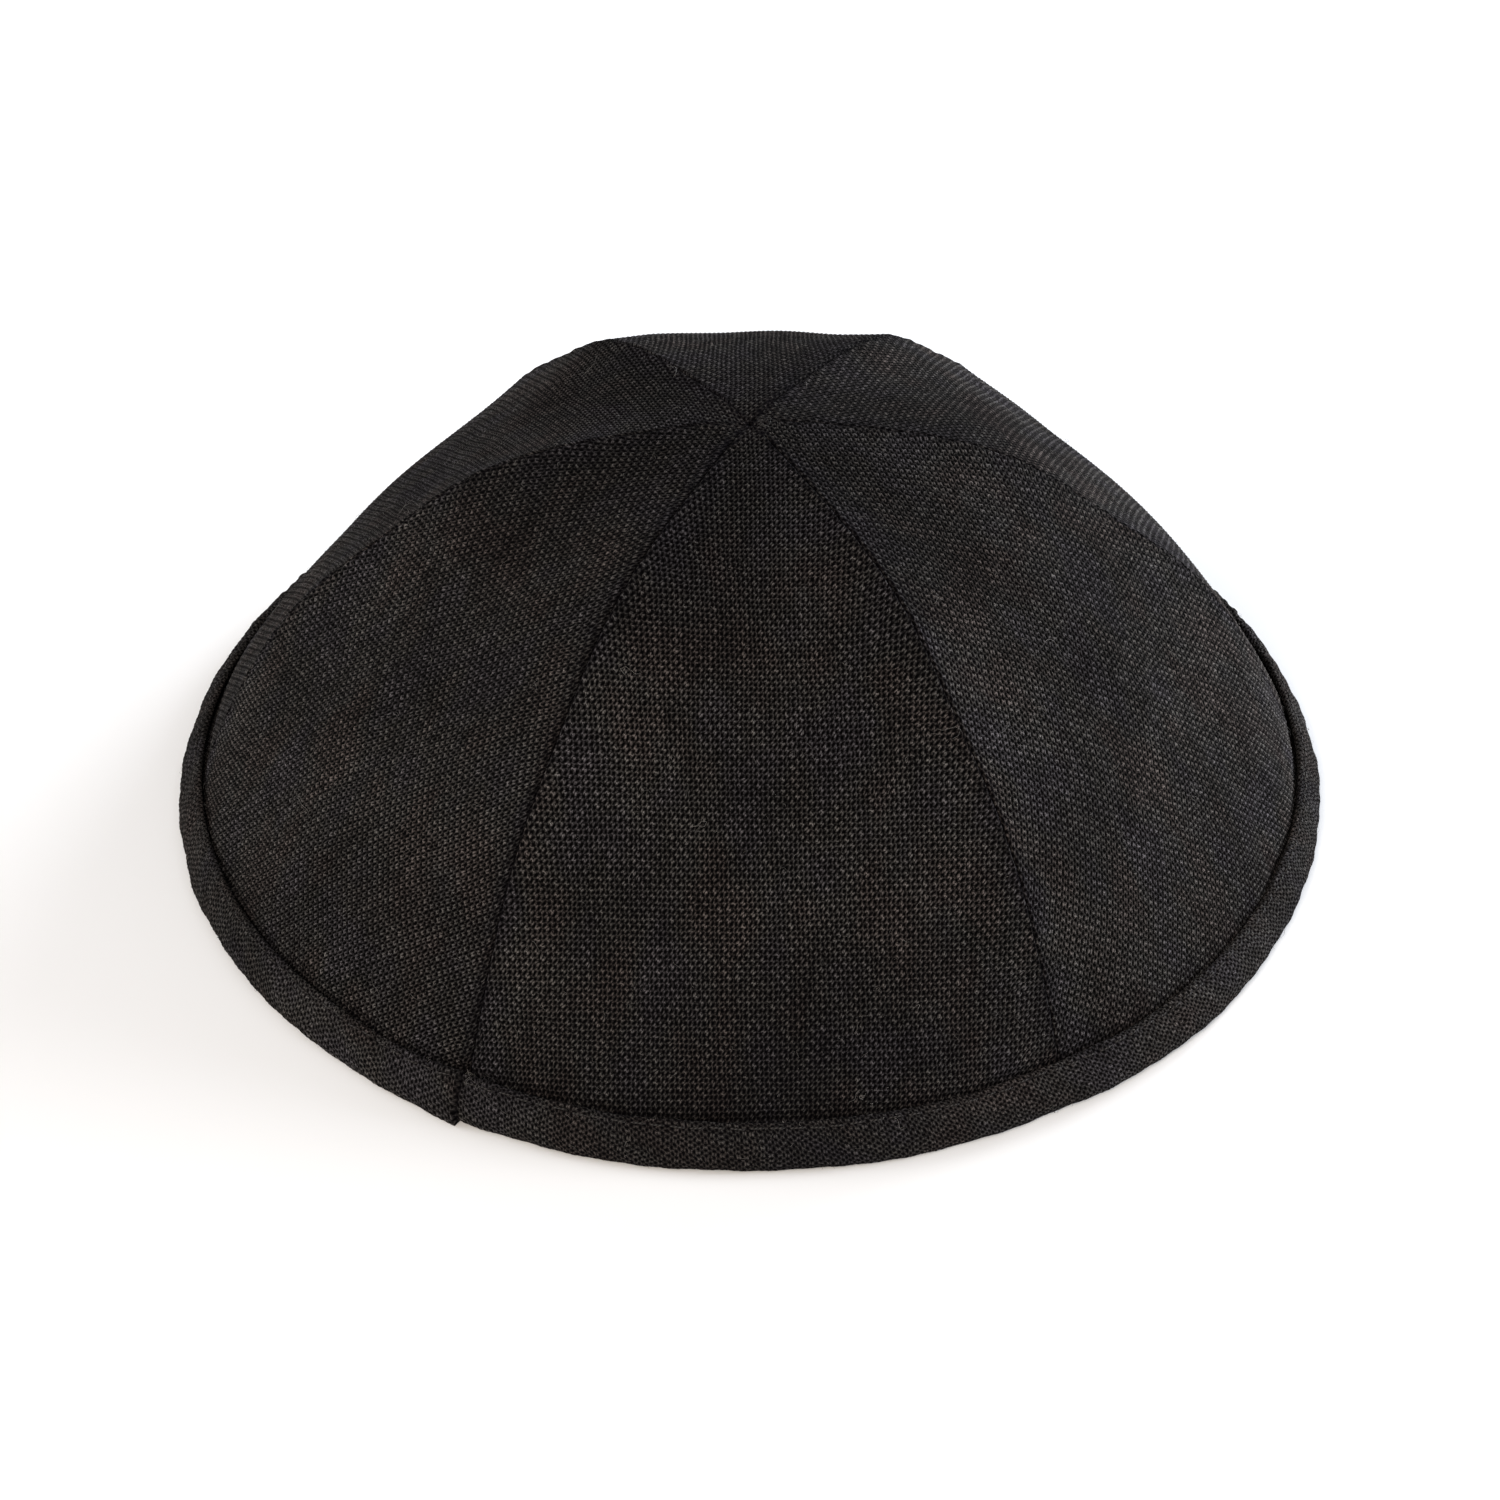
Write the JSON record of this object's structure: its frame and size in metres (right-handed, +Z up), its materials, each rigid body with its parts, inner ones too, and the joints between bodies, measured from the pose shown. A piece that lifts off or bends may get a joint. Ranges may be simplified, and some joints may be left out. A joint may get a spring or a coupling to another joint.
{
  "type": "kippah",
  "caption": "Low domed cloth skullcap of sewn curved gores meeting in a point at the crown, open below, with a folded bias binding round the rim and a lap joint at one seam's foot.",
  "frame": {"origin": "centre of the rim, in the plane that the rim rests on", "axes": "+Z up through the crown; -Y towards the front panel; +X to the right as seen from the front"},
  "size_m": [0.18, 0.18, 0.0707],
  "materials": {
    "linen_panel": "matt black plain-weave linen with slubby yarns and a faint warm cast",
    "linen_binding": "matt black plain-weave linen cut on the bias, stitched in black thread"
  },
  "bodies": {
    "root": {"panel_front": "linen_panel", "panel_front_right": "linen_panel", "panel_back_right": "linen_panel", "panel_back": "linen_panel", "panel_back_left": "linen_panel", "panel_front_left": "linen_panel", "rim_binding": "linen_binding"}
  },
  "joints": []
}
